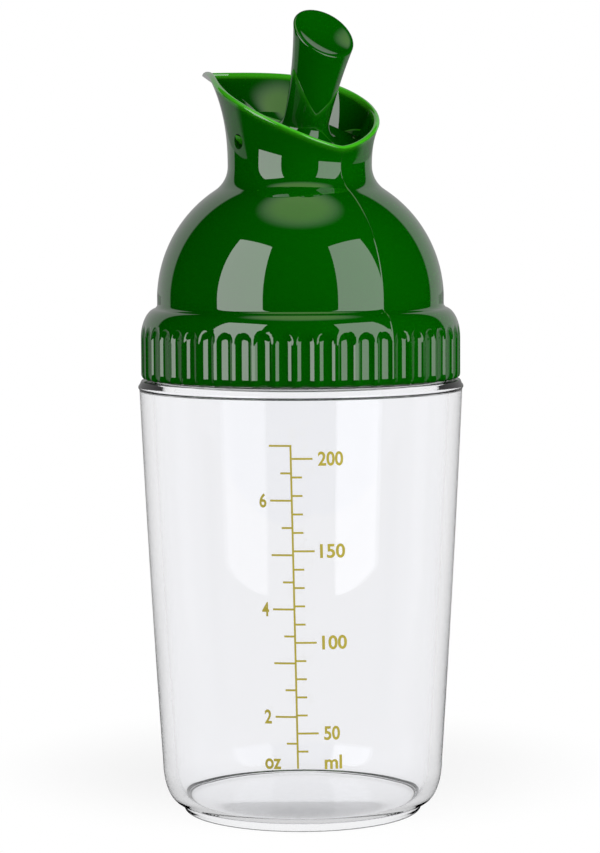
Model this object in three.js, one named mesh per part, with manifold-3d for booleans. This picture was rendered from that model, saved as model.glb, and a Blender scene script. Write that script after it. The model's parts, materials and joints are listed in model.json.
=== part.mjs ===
// Salad dressing shaker: a clear jar with a printed volume scale, and a screw lid whose pouring
// collar is closed by a disc valve on a thumb lever.
// Millimetres, +Z up, spout along +X, origin at the centre of the jar's foot.
import * as THREE from "three";
import { mergeVertices } from "three/addons/utils/BufferGeometryUtils.js";
import Module from "manifold-3d";

const wasm = await Module();
wasm.setup();

// Clearances between separate pieces
const LOOSE = 0.3;
const THREAD_CLEARANCE = 0.4;
const VALVE_CLEARANCE = 0.4;
const PRINT_GAP = 0.04;

// Jar
const FOOT_RADIUS = 25.5;
const FOOT_HEIGHT = 2;
const FOOT_STEP = 1;
const BASE_RADIUS = 30.05;
const BASE_CORNER_HEIGHT = 8.5;
const BODY_TOP_RADIUS = 34.4;
const BODY_TOP_Z = 90.5;
const BODY_BULGE = 0.2;
const JAR_WALL = 2.8;
const FLOOR_THICKNESS = 3;
const FLOOR_FILLET = 4.2;
const BEAD_STAND = 0.25;
const BEAD_HEIGHT = 0.9;
const LEDGE_BEVEL = 1.1;

// Skirt of the lid, and the jar's neck inside it with the screw thread they share
const SKIRT_RADIUS = 34;
const SKIRT_WALL = 2.7;
const NECK_WALL = 2.4;
const NECK_HEIGHT = 10.5;
const NECK_BLEND = 7;
const THREAD_DEPTH = 1.1;
const THREAD_ROOT_WIDTH = 1.8;
const THREAD_CREST_WIDTH = 1;
const THREAD_LEAD = 8;
const THREAD_STARTS = 2;
const THREAD_TURNS = 0.75;
const THREAD_LIFT = 2.3;
const NECK_OUTER_RADIUS = SKIRT_RADIUS - SKIRT_WALL - THREAD_CLEARANCE - THREAD_DEPTH;

// Printed volume scale, with its height above the foot as a linear reading of the volume
const SCALE_AZIMUTH = 143.3;
const SCALE_LEAN = 1.9;
const SCALE_ZERO_Z = 2.85;
const SCALE_PER_ML = 0.379;
const SCALE_BOTTOM_Z = 14.4;
const ML_PER_OUNCE = 29.57;
const LONG_MARK = 4.4;
const SHORT_MARK = 2.2;
const LINE_WIDTH = 0.32;
const INK_THICKNESS = 0.12;

// Lid: fluted skirt, round dome, neck
const SKIRT_STRAIGHT = 8.6;
const SKIRT_SHOULDER_REACH = 3.5;
const SKIRT_SHOULDER_RISE = 6.4;
const SKIRT_EDGE = 0.9;
const FLUTE_COUNT = 50;
const FLUTE_WIDTH = 3.7;
const FLUTE_DEPTH = 0.6;
const FLUTE_HEIGHT = 11.1;
const DOME_INSET = 3.5;
const DOME_RADIUS = SKIRT_RADIUS - DOME_INSET;
const DOME_FULLNESS = 2.9;
const DOME_LIFT = 1.8;
const LID_WALL = 2;
const NECK_RADIUS = 15.3;
const NECK_FILLET = 6;
const BORE_FILLET = 1.6;
const GASKET_THICKNESS = 1.4;
const GASKET_WIDTH = 2.8;

// Pouring collar
const COLLAR_FLARE = 1.15;
const COLLAR_SIDE_FLARE = 0.65;
const SPOUT_LENGTH = 22.2;
const SPOUT_SPREAD = THREE.MathUtils.degToRad(20.9);
const COLLAR_REAR_RISE = 4.1;
const COLLAR_SLOPE_RISE = 16.7;
const COLLAR_LIP = 1.3;
const COLLAR_SLOPE_FULLNESS = 0.71;
const COLLAR_OUTER_BEND = 2.3;
const COLLAR_INNER_BEND = 1.3;

// Lever: thumb stem, disc and pivot pins in one moulding
const PIVOT_RISE = 5.1;
const PIVOT_HOLE_RADIUS = 1.6;
const PIN_RADIUS = 1.3;
const PIN_REACH = 0.6;
const PIN_WEDGE = Math.PI / 4;
const STEM_TILT = THREE.MathUtils.degToRad(21.5);
const STEM_SET_BACK = 0.8;
const STEM_FOOT_RADIUS = 4.8;
const STEM_FLARE = 1.4;
const STEM_FLARE_BEND = 2;
const STEM_FOOT_FILLET = 4.2;
const STEM_LENGTH = 24.2;
const PAD_SLOPE = THREE.MathUtils.degToRad(27);
const PAD_WIDENING = 1.12;
const PAD_DISH_DEPTH = 1;
const PAD_LIP = 0.7;
const DISC_ABOVE = 1.6;
const DISC_LIP = 0.9;
const DISC_LIP_INSET = 0.5;
const SEAL_HEIGHT = 1.2;
const SEAL_WIDTH = 1.3;
const SEAL_STAND = 0.15;
const SEAL_SLACK = 0.2;

// Steps in the round pieces
const JAR_STEPS = 36;
const STEM_STEPS = 24;
const DISC_STEPS = 40;

// Sizes worked out from those above
const bodyBottomZ = FOOT_HEIGHT + BASE_CORNER_HEIGHT;
const ledgeZ = BODY_TOP_Z + BEAD_HEIGHT + LEDGE_BEVEL;
const mouthZ = ledgeZ + NECK_HEIGHT;
const neckInnerRadius = NECK_OUTER_RADIUS - NECK_WALL;
const skirtBore = SKIRT_RADIUS - SKIRT_WALL;
const skirtBottomZ = ledgeZ + THREAD_CLEARANCE;
const gasketZ = mouthZ + LOOSE;
const sealLedgeZ = gasketZ + GASKET_THICKNESS + LOOSE;
const domeZ = skirtBottomZ + SKIRT_STRAIGHT + SKIRT_SHOULDER_RISE + DOME_LIFT;
const domeArc = DOME_RADIUS - DOME_FULLNESS;
const boreRadius = NECK_RADIUS - LID_WALL;
const waistZ = filletHeight(domeArc, NECK_RADIUS, NECK_FILLET);
const pivotZ = waistZ + PIVOT_RISE;
const discRadius = boreRadius - VALVE_CLEARANCE - SEAL_STAND;
const sealTop = -PIN_RADIUS - LOOSE - SEAL_SLACK;
const sealBottom = sealTop - SEAL_HEIGHT;
const grooveBottom = sealBottom - SEAL_SLACK;
const sealOuterRadius = discRadius + SEAL_STAND;
const sealInnerRadius = sealOuterRadius - SEAL_WIDTH;

// The dome's arc is centred a little off the axis, at DOME_FULLNESS. A fillet joins it to a neck:
// the turn along the arc at which the fillet starts, and the height at which it has become the neck.
function filletTurn(arcRadius, neckRadius, fillet) {
  return THREE.MathUtils.radToDeg(Math.acos((neckRadius + fillet - DOME_FULLNESS) / (arcRadius + fillet)));
}

function filletHeight(arcRadius, neckRadius, fillet) {
  const reach = arcRadius + fillet;
  return domeZ + Math.sqrt(reach * reach - (neckRadius + fillet - DOME_FULLNESS) ** 2);
}

function point(radius, z) {
  return new THREE.Vector2(radius, z);
}

// Points on an elliptical arc, with angles in degrees from the outward direction
function arc(radius, z, across, up, from, to, steps) {
  const { degToRad } = THREE.MathUtils;
  return new THREE.EllipseCurve(radius, z, across, up, degToRad(from), degToRad(to), to < from).getPoints(steps);
}

// A turned piece whose outline may change round the axis: outline(angle) lists its points there
function turned(outline, steps) {
  const rows = outline(0).length;
  const geometry = new THREE.LatheGeometry(outline(0), steps);
  const position = geometry.attributes.position;
  for (let i = 0; i <= steps; i += 1) {
    const angle = ((i % steps) * 2 * Math.PI) / steps;
    outline(angle).forEach(({ x, y }, row) => {
      position.setXYZ(i * rows + row, x * Math.cos(angle), x * Math.sin(angle), y);
    });
  }
  return geometry;
}

// Cutting and joining needs one closed skin with shared corners and no empty triangles
function solid(geometry) {
  geometry.deleteAttribute("normal");
  geometry.deleteAttribute("uv");
  const merged = mergeVertices(geometry, 1e-4);
  const corners = merged.index.array;
  const kept = [];
  for (let i = 0; i < corners.length; i += 3) {
    const [a, b, c] = corners.slice(i, i + 3);
    if (a !== b && b !== c && c !== a) kept.push(a, b, c);
  }
  const vertProperties = new Float32Array(merged.attributes.position.array);
  return new wasm.Manifold(new wasm.Mesh({ numProp: 3, vertProperties, triVerts: new Uint32Array(kept) }));
}

function geometryOf(body) {
  const { vertProperties, triVerts } = body.getMesh();
  const geometry = new THREE.BufferGeometry();
  geometry.setAttribute("position", new THREE.BufferAttribute(vertProperties, 3));
  geometry.setIndex(new THREE.BufferAttribute(triVerts, 1));
  geometry.computeVertexNormals();
  return geometry;
}

function piece(name, body, colour, roughness, look = {}) {
  const material = new THREE.MeshStandardMaterial({ color: colour, roughness, metalness: 0, ...look });
  const mesh = new THREE.Mesh(geometryOf(body), material);
  mesh.name = name;
  return mesh;
}

// A round bar along Z between two heights
function bar(radius, bottom, top, steps = DISC_STEPS) {
  const geometry = new THREE.CylinderGeometry(radius, radius, top - bottom, steps);
  geometry.rotateX(Math.PI / 2);
  geometry.translate(0, 0, (bottom + top) / 2);
  return geometry;
}

// One thread ridge, wound up a right-hand helix. It fades out at both ends.
function threadRidge(rootRadius, crestRadius, startAngle, startZ) {
  const steps = 24;
  const bite = 0.4;
  const fade = 0.12;
  const inward = crestRadius < rootRadius;
  const ridge = new THREE.BoxGeometry(1, 1, 1, 1, steps, 1);
  const position = ridge.attributes.position;
  for (let i = 0; i < position.count; i += 1) {
    const along = position.getY(i) + 0.5;
    const crest = position.getX(i) > 0 !== inward;
    const height = Math.min(1, along / fade, (1 - along) / fade);
    const tip = rootRadius + (crestRadius - rootRadius) * height;
    const radius = crest ? tip : rootRadius + (inward ? bite : -bite);
    const angle = startAngle + along * THREAD_TURNS * 2 * Math.PI;
    const width = crest ? THREAD_CREST_WIDTH : THREAD_ROOT_WIDTH;
    const z = startZ + along * THREAD_TURNS * THREAD_LEAD + position.getZ(i) * width;
    position.setXYZ(i, radius * Math.cos(angle), radius * Math.sin(angle), z);
  }
  return solid(ridge);
}

function addThread(body, rootRadius, crestRadius, firstAngle) {
  let threaded = body;
  for (let start = 0; start < THREAD_STARTS; start += 1) {
    const angle = firstAngle + (start * 2 * Math.PI) / THREAD_STARTS;
    threaded = threaded.add(threadRidge(rootRadius, crestRadius, angle, ledgeZ + THREAD_LIFT));
  }
  return threaded;
}

// Outer radius of the jar's tapered body, which bulges a little at mid height
function bodyRadius(z) {
  const share = THREE.MathUtils.clamp((z - bodyBottomZ) / (BODY_TOP_Z - bodyBottomZ), 0, 1);
  return THREE.MathUtils.lerp(BASE_RADIUS, BODY_TOP_RADIUS, share) + BODY_BULGE * 4 * share * (1 - share);
}

function jar() {
  const wallSteps = 5;
  const wall = (bottom, top, inset) => Array.from({ length: wallSteps + 1 }, (_, i) => {
    const z = THREE.MathUtils.lerp(bottom, top, i / wallSteps);
    return point(bodyRadius(z) - inset, z);
  });
  const cornerRadius = FOOT_RADIUS + FOOT_STEP;
  const cornerReach = BASE_RADIUS - cornerRadius;
  const beadRadius = BODY_TOP_RADIUS + BEAD_STAND;
  const beadZ = BODY_TOP_Z + BEAD_HEIGHT;
  const blendBottomZ = ledgeZ - NECK_BLEND;
  const blendRadius = bodyRadius(blendBottomZ) - JAR_WALL;
  const blendReach = (blendRadius - neckInnerRadius) / 2;
  const filletZ = FLOOR_THICKNESS + FLOOR_FILLET;
  const filletRadius = bodyRadius(filletZ) - JAR_WALL - FLOOR_FILLET;
  const mouthRound = NECK_WALL / 4;
  const outline = [
    point(0, 0),
    point(FOOT_RADIUS - FOOT_HEIGHT / 4, 0),
    point(FOOT_RADIUS, FOOT_HEIGHT / 4),
    point(FOOT_RADIUS, FOOT_HEIGHT),
    ...arc(cornerRadius, bodyBottomZ, cornerReach, BASE_CORNER_HEIGHT, -90, 0, 4),
    ...wall(bodyBottomZ, BODY_TOP_Z, 0).slice(1),
    point(beadRadius, BODY_TOP_Z + BEAD_STAND),
    point(beadRadius, beadZ),
    point(beadRadius - LEDGE_BEVEL / 2, ledgeZ),
    point(NECK_OUTER_RADIUS, ledgeZ),
    point(NECK_OUTER_RADIUS, mouthZ - mouthRound),
    point(NECK_OUTER_RADIUS - mouthRound, mouthZ),
    point(neckInnerRadius + mouthRound, mouthZ),
    point(neckInnerRadius, mouthZ - mouthRound),
    ...arc(neckInnerRadius + blendReach, ledgeZ, blendReach, NECK_BLEND / 2, 180, 270, 2),
    ...arc(neckInnerRadius + blendReach, blendBottomZ, blendReach, NECK_BLEND / 2, 90, 0, 2).slice(1),
    ...wall(filletZ, blendBottomZ, JAR_WALL).reverse().slice(1),
    ...arc(filletRadius, filletZ, FLOOR_FILLET, FLOOR_FILLET, 0, -90, 4).slice(1),
    point(0, FLOOR_THICKNESS),
  ];
  const body = solid(turned(() => outline, JAR_STEPS));
  return addThread(body, NECK_OUTER_RADIUS, NECK_OUTER_RADIUS + THREAD_DEPTH, 0);
}

// One stroke of ink, bent round the jar: from is its left end seen from outside, in millimetres
// along the surface from the scale's upright line
function stroke(from, to, bottom, top, acrossSteps, upSteps) {
  const ink = new THREE.BoxGeometry(1, 1, 1, 1, acrossSteps, upSteps);
  const position = ink.attributes.position;
  for (let i = 0; i < position.count; i += 1) {
    const z = THREE.MathUtils.lerp(bottom, top, position.getZ(i) + 0.5);
    const surface = bodyRadius(z) + PRINT_GAP;
    const radius = surface + (position.getX(i) > 0 ? INK_THICKNESS : 0);
    const lean = SCALE_LEAN * ((scaleTopZ() - z) / (scaleTopZ() - SCALE_BOTTOM_Z) - 0.5);
    const along = THREE.MathUtils.lerp(from, to, position.getY(i) + 0.5);
    const angle = THREE.MathUtils.degToRad(SCALE_AZIMUTH + lean) + along / surface;
    position.setXYZ(i, radius * Math.cos(angle), radius * Math.sin(angle), z);
  }
  return solid(ink);
}

function scaleZ(millilitres) {
  return SCALE_ZERO_Z + SCALE_PER_ML * millilitres;
}

function scaleTopZ() {
  return scaleZ(7 * ML_PER_OUNCE);
}

// Millilitre marks every 10, long every 50; ounce marks every half, long every whole one
function volumeScale() {
  const half = LINE_WIDTH / 2;
  let ink = stroke(-half, half, SCALE_BOTTOM_Z, scaleTopZ() + half, 1, 5);
  const mark = (side, long, z) => {
    const end = side * (long ? LONG_MARK : SHORT_MARK);
    const start = (-side * half) / 2;
    return stroke(Math.min(start, end), Math.max(start, end), z - half, z + half, long ? 2 : 1, 1);
  };
  for (let volume = 40; volume <= 200; volume += 10) {
    ink = ink.add(mark(1, volume % 50 === 0, scaleZ(volume)));
  }
  for (let ounces = 1.5; ounces <= 7; ounces += 0.5) {
    ink = ink.add(mark(-1, Number.isInteger(ounces), scaleZ(ounces * ML_PER_OUNCE)));
  }
  return ink;
}

// The collar's lip in plan and height: angle 0 is the spout, 180 degrees the low rear
function lipRadius(angle) {
  const turn = Math.abs(THREE.MathUtils.euclideanModulo(angle + Math.PI, 2 * Math.PI) - Math.PI);
  const flare = COLLAR_FLARE + COLLAR_SIDE_FLARE * Math.sin(turn) ** 2;
  return NECK_RADIUS + flare + SPOUT_LENGTH * Math.exp(-turn / SPOUT_SPREAD);
}

function lipHeight(angle) {
  const openness = Math.cos(angle / 2) ** 2;
  return waistZ + COLLAR_REAR_RISE + COLLAR_SLOPE_RISE * openness ** COLLAR_SLOPE_FULLNESS;
}

// The lip keeps its thickness square to its edge, also along the slanting sides of the spout
function lipInnerRadius(angle) {
  const step = 0.01;
  const side = Math.abs(THREE.MathUtils.euclideanModulo(angle + Math.PI, 2 * Math.PI) - Math.PI);
  const slope = (lipRadius(side + step) - lipRadius(side)) / step;
  const radius = lipRadius(angle);
  return radius - COLLAR_LIP * Math.hypot(1, slope / radius);
}

function collarOutline(angle) {
  const steps = 4;
  const outer = lipRadius(angle);
  const inner = lipInnerRadius(angle);
  const lipZ = lipHeight(angle);
  const edgeZ = lipZ - COLLAR_LIP / 2;
  const boreTopZ = pivotZ + boreRadius * Math.cos(angle) * Math.tan(STEM_TILT) + sealTop / 2;
  const rows = [];
  for (let i = 1; i <= steps; i += 1) {
    const share = i / steps;
    const radius = NECK_RADIUS + (outer - NECK_RADIUS) * share ** COLLAR_OUTER_BEND;
    rows.push(point(radius, THREE.MathUtils.lerp(waistZ, edgeZ, share)));
  }
  rows.push(point((outer * 2 + inner) / 3, lipZ));
  rows.push(point((outer + inner * 2) / 3, lipZ));
  for (let i = steps; i >= 0; i -= 1) {
    const share = i / steps;
    const radius = boreRadius + (inner - boreRadius) * share ** COLLAR_INNER_BEND;
    rows.push(point(radius, THREE.MathUtils.lerp(boreTopZ, edgeZ, share)));
  }
  return rows;
}

function lidOutline(angle) {
  const skirtTopZ = skirtBottomZ + SKIRT_STRAIGHT;
  const shoulderRadius = SKIRT_RADIUS - SKIRT_SHOULDER_REACH;
  const innerArc = domeArc - LID_WALL;
  const { radToDeg } = THREE.MathUtils;
  const outerTurn = filletTurn(domeArc, NECK_RADIUS, NECK_FILLET);
  const innerTurn = filletTurn(innerArc, boreRadius, BORE_FILLET);
  const boreBottomZ = filletHeight(innerArc, boreRadius, BORE_FILLET);
  const shoulderTurn = radToDeg(Math.acos((DOME_RADIUS - shoulderRadius + SKIRT_EDGE / 2) / SKIRT_SHOULDER_REACH));
  const creaseTurn = radToDeg(Math.asin(DOME_LIFT / domeArc)) - 1;
  return [
    point(SKIRT_RADIUS - SKIRT_EDGE, skirtBottomZ),
    ...arc(SKIRT_RADIUS - SKIRT_EDGE, skirtBottomZ + SKIRT_EDGE, SKIRT_EDGE, SKIRT_EDGE, -45, 0, 1),
    ...arc(shoulderRadius, skirtTopZ, SKIRT_SHOULDER_REACH, SKIRT_SHOULDER_RISE, 0, shoulderTurn, 4),
    ...arc(DOME_FULLNESS, domeZ, domeArc, domeArc, -creaseTurn, outerTurn, 8),
    ...arc(NECK_RADIUS + NECK_FILLET, waistZ, NECK_FILLET, NECK_FILLET, 180 + outerTurn, 180, 3).slice(1),
    ...collarOutline(angle),
    ...arc(boreRadius + BORE_FILLET, boreBottomZ, BORE_FILLET, BORE_FILLET, 180, 180 + innerTurn, 2),
    ...arc(DOME_FULLNESS, domeZ, innerArc, innerArc, innerTurn, 0, 4).slice(1),
    point(DOME_RADIUS - LID_WALL, sealLedgeZ),
    point(skirtBore, sealLedgeZ),
    point(skirtBore, skirtBottomZ + SKIRT_EDGE / 2),
    point(skirtBore + SKIRT_EDGE / 2, skirtBottomZ),
    point(SKIRT_RADIUS - SKIRT_EDGE, skirtBottomZ),
  ];
}

// A bullet that scoops one flute out of the skirt, its round end making the arched top
function fluteCutter() {
  const radius = (FLUTE_WIDTH ** 2 / 4 + FLUTE_DEPTH ** 2) / (2 * FLUTE_DEPTH);
  const archRise = FLUTE_WIDTH / 2;
  const archZ = skirtBottomZ + FLUTE_HEIGHT - archRise;
  const outline = [
    point(0, skirtBottomZ - 1),
    point(radius, skirtBottomZ - 1),
    ...arc(0, archZ, radius, radius, 0, 90, 3),
  ];
  const cutter = turned(() => outline, 16);
  cutter.translate(SKIRT_RADIUS + radius - FLUTE_DEPTH, 0, 0);
  return cutter;
}

function lid() {
  let body = solid(turned(lidOutline, FLUTE_COUNT));
  for (let flute = 0; flute < FLUTE_COUNT; flute += 1) {
    const cutter = fluteCutter().rotateZ(((flute + 0.5) * 2 * Math.PI) / FLUTE_COUNT);
    body = body.subtract(solid(cutter));
  }
  const holes = bar(PIVOT_HOLE_RADIUS, -SKIRT_RADIUS, SKIRT_RADIUS, 16).rotateX(Math.PI / 2);
  body = body.subtract(solid(holes.translate(0, 0, pivotZ)));
  const quarterPitch = Math.PI / THREAD_STARTS;
  return addThread(body, skirtBore, skirtBore - THREAD_DEPTH, quarterPitch);
}

function gasket() {
  const outer = skirtBore - LOOSE;
  const inner = outer - GASKET_WIDTH;
  const top = gasketZ + GASKET_THICKNESS;
  const outline = [point(inner, gasketZ), point(outer, gasketZ), point(outer, top), point(inner, top), point(inner, gasketZ)];
  return solid(turned(() => outline, JAR_STEPS));
}

// Shapes of the lever are made about its pivot with the stem upright, then leaned back
function leaned(geometry) {
  return solid(geometry.rotateY(-STEM_TILT).translate(0, 0, pivotZ));
}

// A round slab square to the stem, trimmed to a vertical cylinder so that it fits the upright bore
function trimmedSlab(radius, bottom, top) {
  const slab = leaned(bar(2 * radius, bottom, top));
  return slab.intersect(solid(bar(radius, pivotZ - 3 * radius, pivotZ + 3 * radius)));
}

function stemRadius(height) {
  const share = Math.max(0, height - DISC_ABOVE - STEM_FOOT_FILLET) / (STEM_LENGTH - DISC_ABOVE - STEM_FOOT_FILLET);
  return STEM_FOOT_RADIUS + STEM_FLARE * share ** STEM_FLARE_BEND;
}

// The stem is cut at a slope for the thumb pad, and the pad is dished inside its lip
function stem() {
  const filletTop = DISC_ABOVE + STEM_FOOT_FILLET;
  const topZ = STEM_LENGTH + 2 * STEM_FOOT_RADIUS;
  const shaft = Array.from({ length: 6 }, (_, i) => {
    const z = THREE.MathUtils.lerp(filletTop, topZ, i / 5);
    return point(stemRadius(z), z);
  });
  const fillet = arc(STEM_FOOT_RADIUS + STEM_FOOT_FILLET, filletTop, STEM_FOOT_FILLET, STEM_FOOT_FILLET, 270, 180, 4);
  const outline = [point(0, -DISC_ABOVE), point(fillet[0].x, -DISC_ABOVE), ...fillet, ...shaft.slice(1), point(0, topZ)];
  const geometry = turned(() => outline, STEM_STEPS);
  const position = geometry.attributes.position;
  for (let i = 0; i < position.count; i += 1) {
    const share = Math.max(0, position.getZ(i) - filletTop) / (STEM_LENGTH - filletTop);
    position.setY(i, position.getY(i) * THREE.MathUtils.lerp(1, PAD_WIDENING, share));
  }
  const blockSize = 4 * STEM_LENGTH;
  const above = new THREE.BoxGeometry(blockSize, blockSize, blockSize);
  above.translate(0, 0, blockSize / 2).rotateY(-PAD_SLOPE).translate(0, 0, STEM_LENGTH);
  const padRadius = stemRadius(STEM_LENGTH) - PAD_LIP;
  const dishRadius = (padRadius ** 2 + PAD_DISH_DEPTH ** 2) / (2 * PAD_DISH_DEPTH);
  const dish = new THREE.SphereGeometry(dishRadius, 40, 32);
  dish.scale(1 / Math.cos(PAD_SLOPE), PAD_WIDENING, 1);
  dish.translate(0, 0, dishRadius - PAD_DISH_DEPTH).rotateY(-PAD_SLOPE).translate(0, 0, STEM_LENGTH);
  for (const shape of [geometry, above, dish]) shape.translate(-STEM_SET_BACK, 0, 0);
  return leaned(geometry).subtract(leaned(above)).subtract(leaned(dish));
}

// Each pin ends in a wedge, longest at its top, that snaps into the hole in the neck
function pins() {
  const reach = NECK_RADIUS + PIN_REACH;
  const round = new THREE.CylinderGeometry(PIN_RADIUS, PIN_RADIUS, 2 * reach, 16);
  let body = solid(round.translate(0, 0, pivotZ));
  for (const side of [-1, 1]) {
    const block = new THREE.BoxGeometry(4 * PIN_RADIUS, 4 * PIN_RADIUS, 8 * PIN_RADIUS);
    block.translate(0, 2 * PIN_RADIUS, 0).rotateX(-PIN_WEDGE).translate(0, reach, pivotZ + PIN_RADIUS);
    if (side < 0) block.rotateZ(Math.PI);
    body = body.subtract(solid(block));
  }
  return body;
}

function lever() {
  const lipRadiusBelow = discRadius - DISC_LIP_INSET;
  const grooveRadius = sealInnerRadius - SEAL_SLACK;
  const upper = trimmedSlab(discRadius, sealTop + SEAL_SLACK, DISC_ABOVE);
  const hub = trimmedSlab(grooveRadius, grooveBottom - DISC_LIP, DISC_ABOVE);
  const lower = trimmedSlab(lipRadiusBelow, grooveBottom - DISC_LIP, grooveBottom);
  return upper.add(hub).add(lower).add(stem()).add(pins());
}

function valveSeal() {
  return trimmedSlab(sealOuterRadius, sealBottom, sealTop).subtract(
    trimmedSlab(sealInnerRadius, sealBottom - 1, sealTop + 1),
  );
}

const GREEN = 0x0a5a06;
const shaker = new THREE.Group();
shaker.add(
  piece("jar", jar(), 0xf2f4f5, 0.05, { transparent: true, opacity: 0.35 }),
  piece("volume_scale", volumeScale(), 0xbaaa50, 0.4),
  piece("lid_gasket", gasket(), 0xdedede, 0.5),
  piece("lid", lid(), GREEN, 0.12),
  piece("lever", lever(), GREEN, 0.12),
  piece("valve_seal", valveSeal(), 0xdedede, 0.5),
);

export default shaker;
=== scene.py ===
"""Salad dressing shaker: the finish of its jar, scale, lid, lever and seals, and the stage they stand on."""

import json
import math

import bmesh
import bpy
from mathutils import Matrix, Vector


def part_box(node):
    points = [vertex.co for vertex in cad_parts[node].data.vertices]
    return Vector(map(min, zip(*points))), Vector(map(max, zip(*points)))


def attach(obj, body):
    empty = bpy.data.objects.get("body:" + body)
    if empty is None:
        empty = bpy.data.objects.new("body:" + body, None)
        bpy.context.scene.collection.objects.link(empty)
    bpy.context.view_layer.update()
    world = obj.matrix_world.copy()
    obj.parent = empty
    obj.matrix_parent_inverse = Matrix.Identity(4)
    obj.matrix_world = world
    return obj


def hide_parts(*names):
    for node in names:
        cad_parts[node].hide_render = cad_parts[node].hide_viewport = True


bl_info = {
    "name": "Dressing Shaker",
    "version": (1, 0, 0),
    "blender": (4, 5, 0),
    "location": "View3D > Sidebar > Shaker",
    "description": "Builds the finished pieces of a salad dressing shaker around its packed model",
    "category": "Object",
}

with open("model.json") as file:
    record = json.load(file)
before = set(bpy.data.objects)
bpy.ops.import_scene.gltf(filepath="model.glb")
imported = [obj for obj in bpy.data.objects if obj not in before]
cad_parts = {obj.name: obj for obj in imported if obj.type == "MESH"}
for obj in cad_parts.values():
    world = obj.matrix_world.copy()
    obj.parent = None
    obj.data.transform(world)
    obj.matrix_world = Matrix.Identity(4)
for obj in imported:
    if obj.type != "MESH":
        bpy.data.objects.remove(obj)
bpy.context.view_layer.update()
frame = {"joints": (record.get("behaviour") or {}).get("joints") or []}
MM = 0.001
OUNCE = 29.57
ROUND = 2 * math.pi
SAME_PLACE = 1e-6

JAR_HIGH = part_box("jar")[1]
LID_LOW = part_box("lid")[0]
GASKET_LOW, GASKET_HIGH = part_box("lid_gasket")
PIVOT = Vector(next(j for j in frame["joints"] if j["name"] == "lever_tilt")["pos_m"])
ACROSS = Matrix.Rotation(math.pi / 2, 4, "X")


def length(name, millimetres, description):
    return bpy.props.FloatProperty(
        name=name, description=description, default=millimetres * MM, unit="LENGTH", precision=5
    )


def angle(name, degrees, description):
    return bpy.props.FloatProperty(
        name=name, description=description, default=math.radians(degrees), subtype="ANGLE"
    )


def number(name, value, description):
    return bpy.props.FloatProperty(name=name, description=description, default=value)


def colour(name, value, description):
    return bpy.props.FloatVectorProperty(
        name=name, description=description, default=value, subtype="COLOR", size=3, min=0, max=1
    )


class JarSizes(bpy.types.PropertyGroup):
    foot_radius: length("Foot radius", 25.5, "Radius of the ring the jar stands on")
    foot_height: length("Foot height", 2, "Height of the step above the foot")
    foot_step: length("Foot step", 1, "How far the corner stands out from the foot")
    base_radius: length("Base radius", 30.05, "Outer radius where the tapered wall starts")
    corner_height: length("Corner height", 8.5, "Height of the rounded corner over the foot")
    top_radius: length("Top radius", 34.4, "Outer radius at the top of the wall")
    top_height: length("Top height", 90.5, "Height of the top of the wall")
    bulge: length("Bulge", 0.2, "How far the wall bulges at mid height")
    wall: length("Wall", 2.8, "Thickness of the wall")
    floor: length("Floor", 3, "Thickness of the floor")
    fillet_reach: length("Fillet reach", 3.3, "Reach of the inner curve from wall to floor")
    fillet_rise: length("Fillet rise", 7, "Rise of the inner curve from floor to wall")
    bead_stand: length("Bead stand", 0.25, "How far the rim bead stands out")
    bead_height: length("Bead height", 0.9, "Height of the rim bead")
    ledge_bevel: length("Ledge bevel", 1.1, "Height of the bevel over the bead")
    neck_radius: length("Neck radius", 29.8, "Outer radius of the screw neck")
    neck_wall: length("Neck wall", 2.4, "Thickness of the screw neck")
    neck_blend: length("Neck blend", 1.3, "Height of the inner curve from neck to body")


class ThreadSizes(bpy.types.PropertyGroup):
    depth: length("Depth", 1.1, "Height of a ridge over its wall")
    root: length("Root", 1.8, "Width of a ridge at its wall")
    crest: length("Crest", 1, "Width of a ridge at its crest")
    lead: length("Lead", 8, "Rise in one turn")
    turns: number("Turns", 0.75, "Turns that each ridge covers")
    lift: length("Lift", 2.3, "Height of the ridge's start over the jar's ledge")
    clearance: length("Clearance", 0.4, "Gap between a crest and the other piece's wall")


class ScaleSizes(bpy.types.PropertyGroup):
    azimuth: angle("Azimuth", 143.3, "Direction of the upright line, from the spout")
    lean: angle("Lean", 1.9, "Drift of the upright line round the jar, top to bottom")
    zero: length("Zero", 2.85, "Height at which the scale would read nothing")
    per_ml: length("Per millilitre", 0.379, "Rise for one millilitre")
    bottom: length("Bottom", 14.4, "Lower end of the upright line")
    long_mark: length("Long mark", 4.4, "Length of a long mark")
    short_mark: length("Short mark", 2.2, "Length of a short mark")
    line: length("Line", 0.4, "Width of a printed line")
    digit_height: length("Digit height", 2.95, "Height of the numerals")
    digit_width: length("Digit width", 1.46, "Width of one numeral")
    right_gap: length("Right gap", 5.5, "Start of the text to the right of the line")
    left_gap: length("Left gap", 5.2, "End of the text to the left of the line")
    gap: length("Gap", 0.02, "Gap between ink and wall")
    ink: length("Ink", 0.08, "Thickness of the ink")


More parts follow.
